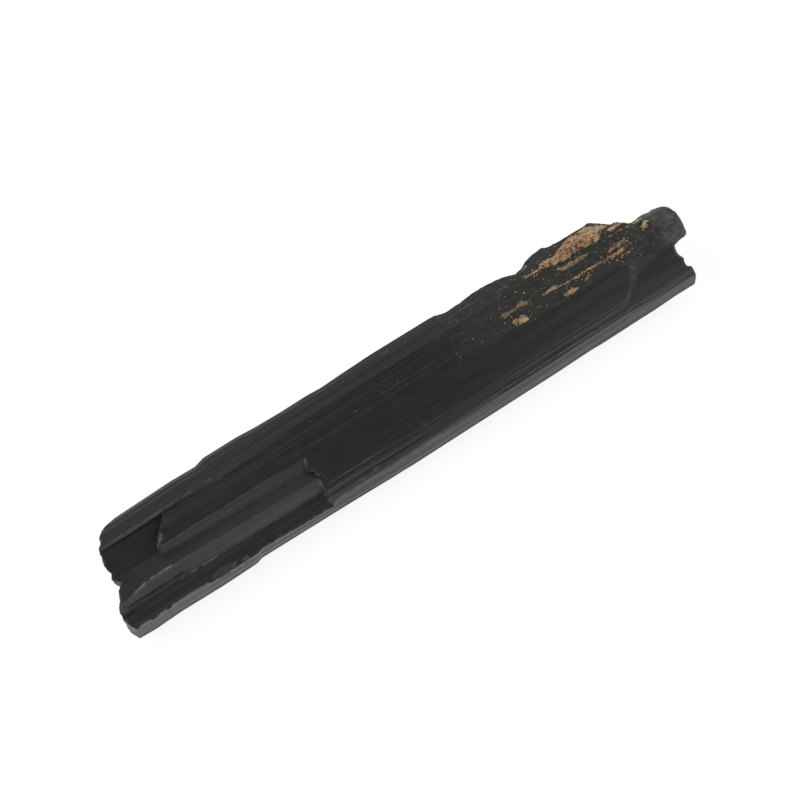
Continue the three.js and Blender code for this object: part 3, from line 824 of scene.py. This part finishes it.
crust_corners = [corner for patches in CRUSTS.values() for _, outline in patches for corner in outline]
crumb_bm = bmesh.new()
for name in ("thin", "grey", "rusty"):
    crumb_bm.verts.layers.float.new(name)
placed = 0
while placed < CRUMB_COUNT:
    x, y = chance.choice(crust_corners)
    x, y = x + chance.gauss(0, CRUMB_SCATTER[0]), y + chance.gauss(0, CRUMB_SCATTER[1])
    spot = lie_on_rod(x, y, 0.3)
    if spot is None or roughness_at(x, y) < 0.4:
        continue
    radius = (CRUMB_RADIUS[0] + CRUMB_RADIUS[1] * chance.random() ** 2) * MM
    bmesh.ops.create_icosphere(
        crumb_bm, subdivisions=1, radius=radius,
        matrix=spot @ Matrix.Diagonal((1, chance.uniform(0.5, 0.9), 0.5, 1)),
    )
    placed += 1
finished_piece("feldspar_crumbs", crumb_bm, feldspar, "tan_matrix")

# ---- Studio ---------------------------------------------------------------------------------------
# A plain white table under an even, soft light. The sky is dim overhead and brighter low down, so
# that level faces stay black and steep ones catch a grey sheen.

floor_mesh = bpy.data.meshes.new("table_top")
floor_bm = bmesh.new()
bmesh.ops.create_grid(floor_bm, x_segments=1, y_segments=1, size=1.5)
floor_bm.to_mesh(floor_mesh)
floor_bm.free()
white, tree, shader = new_finish("white_table")
shader.inputs["Base Color"].default_value = (0.25, 0.25, 0.25, 1)
shader.inputs["Roughness"].default_value = 0.9
shader.inputs["Emission Color"].default_value = (1, 1, 1, 1)
shader.inputs["Emission Strength"].default_value = 0.88
floor_mesh.materials.append(white)
table_top = bpy.data.objects.new("table_top", floor_mesh)
bpy.context.scene.collection.objects.link(table_top)

SKY = [(0.0, 0.66), (0.10, 0.64), (0.43, 0.47), (0.62, 0.30), (0.74, 0.15), (0.86, 0.15), (1.0, 0.22)]
world = bpy.data.worlds.new("studio")
world.use_nodes = True
tree = world.node_tree
direction = add(tree, "ShaderNodeTexCoord", {}).outputs["Generated"]
height = add(tree, "ShaderNodeSeparateXYZ", {"Vector": direction}).outputs["Z"]
sky = add(tree, "ShaderNodeValToRGB", {"Fac": height})
stops = sky.color_ramp.elements
while len(stops) < len(SKY):
    stops.new(0.5)
for stop, (position, bright) in zip(stops, SKY):
    stop.position = position
    stop.color = (0.99 * bright, bright, 0.96 * bright, 1)
tree.links.new(sky.outputs["Color"], tree.nodes["Background"].inputs["Color"])
bpy.context.scene.world = world


def towards(azimuth, elevation):
    """The direction from the rod to a light or camera. Azimuth 0 is in front, and 90 to the right."""
    a, e = math.radians(azimuth), math.radians(elevation)
    return Vector((math.sin(a) * math.cos(e), -math.cos(a) * math.cos(e), math.sin(e)))


middle = Vector((0.0, 0.0, 0.006))
right_part = Vector((0.048, -0.004, 0.010))


def soft_light(name, azimuth, elevation, distance, width, height, power, aim=middle):
    """A rectangular soft light that looks at the rod."""
    lamp = bpy.data.lights.new(name, "AREA")
    lamp.shape = "RECTANGLE"
    lamp.size, lamp.size_y, lamp.energy = width, height, power
    light = bpy.data.objects.new(name, lamp)
    bpy.context.scene.collection.objects.link(light)
    back = towards(azimuth, elevation)
    light.location = aim + back * distance
    light.rotation_euler = back.to_track_quat("Z", "Y").to_euler()
    light.visible_camera = False


soft_light("left_light", -112, 34, 0.9, 0.8, 0.6, 3.6)
soft_light("right_light", 104, 26, 0.9, 0.8, 0.5, 1.4)
soft_light("back_light", 143, 58, 0.9, 0.6, 0.6, 0.30)
soft_light("near_light", 48, 47, 0.18, 0.09, 0.09, 0.015, right_part)

CAMERA_AIM = Vector((0.86, 0.29, 8.22))
CAMERA_DISTANCE = 0.829
camera = bpy.data.objects.new("camera", bpy.data.cameras.new("camera"))
bpy.context.scene.collection.objects.link(camera)
camera.data.lens = 200
camera.data.sensor_width = 36
back = towards(-36.55, 58)
camera.location = CAMERA_AIM * MM + back * CAMERA_DISTANCE
camera.rotation_euler = back.to_track_quat("Z", "Y").to_euler()
bpy.context.scene.camera = camera
bpy.context.scene.view_settings.view_transform = "Standard"
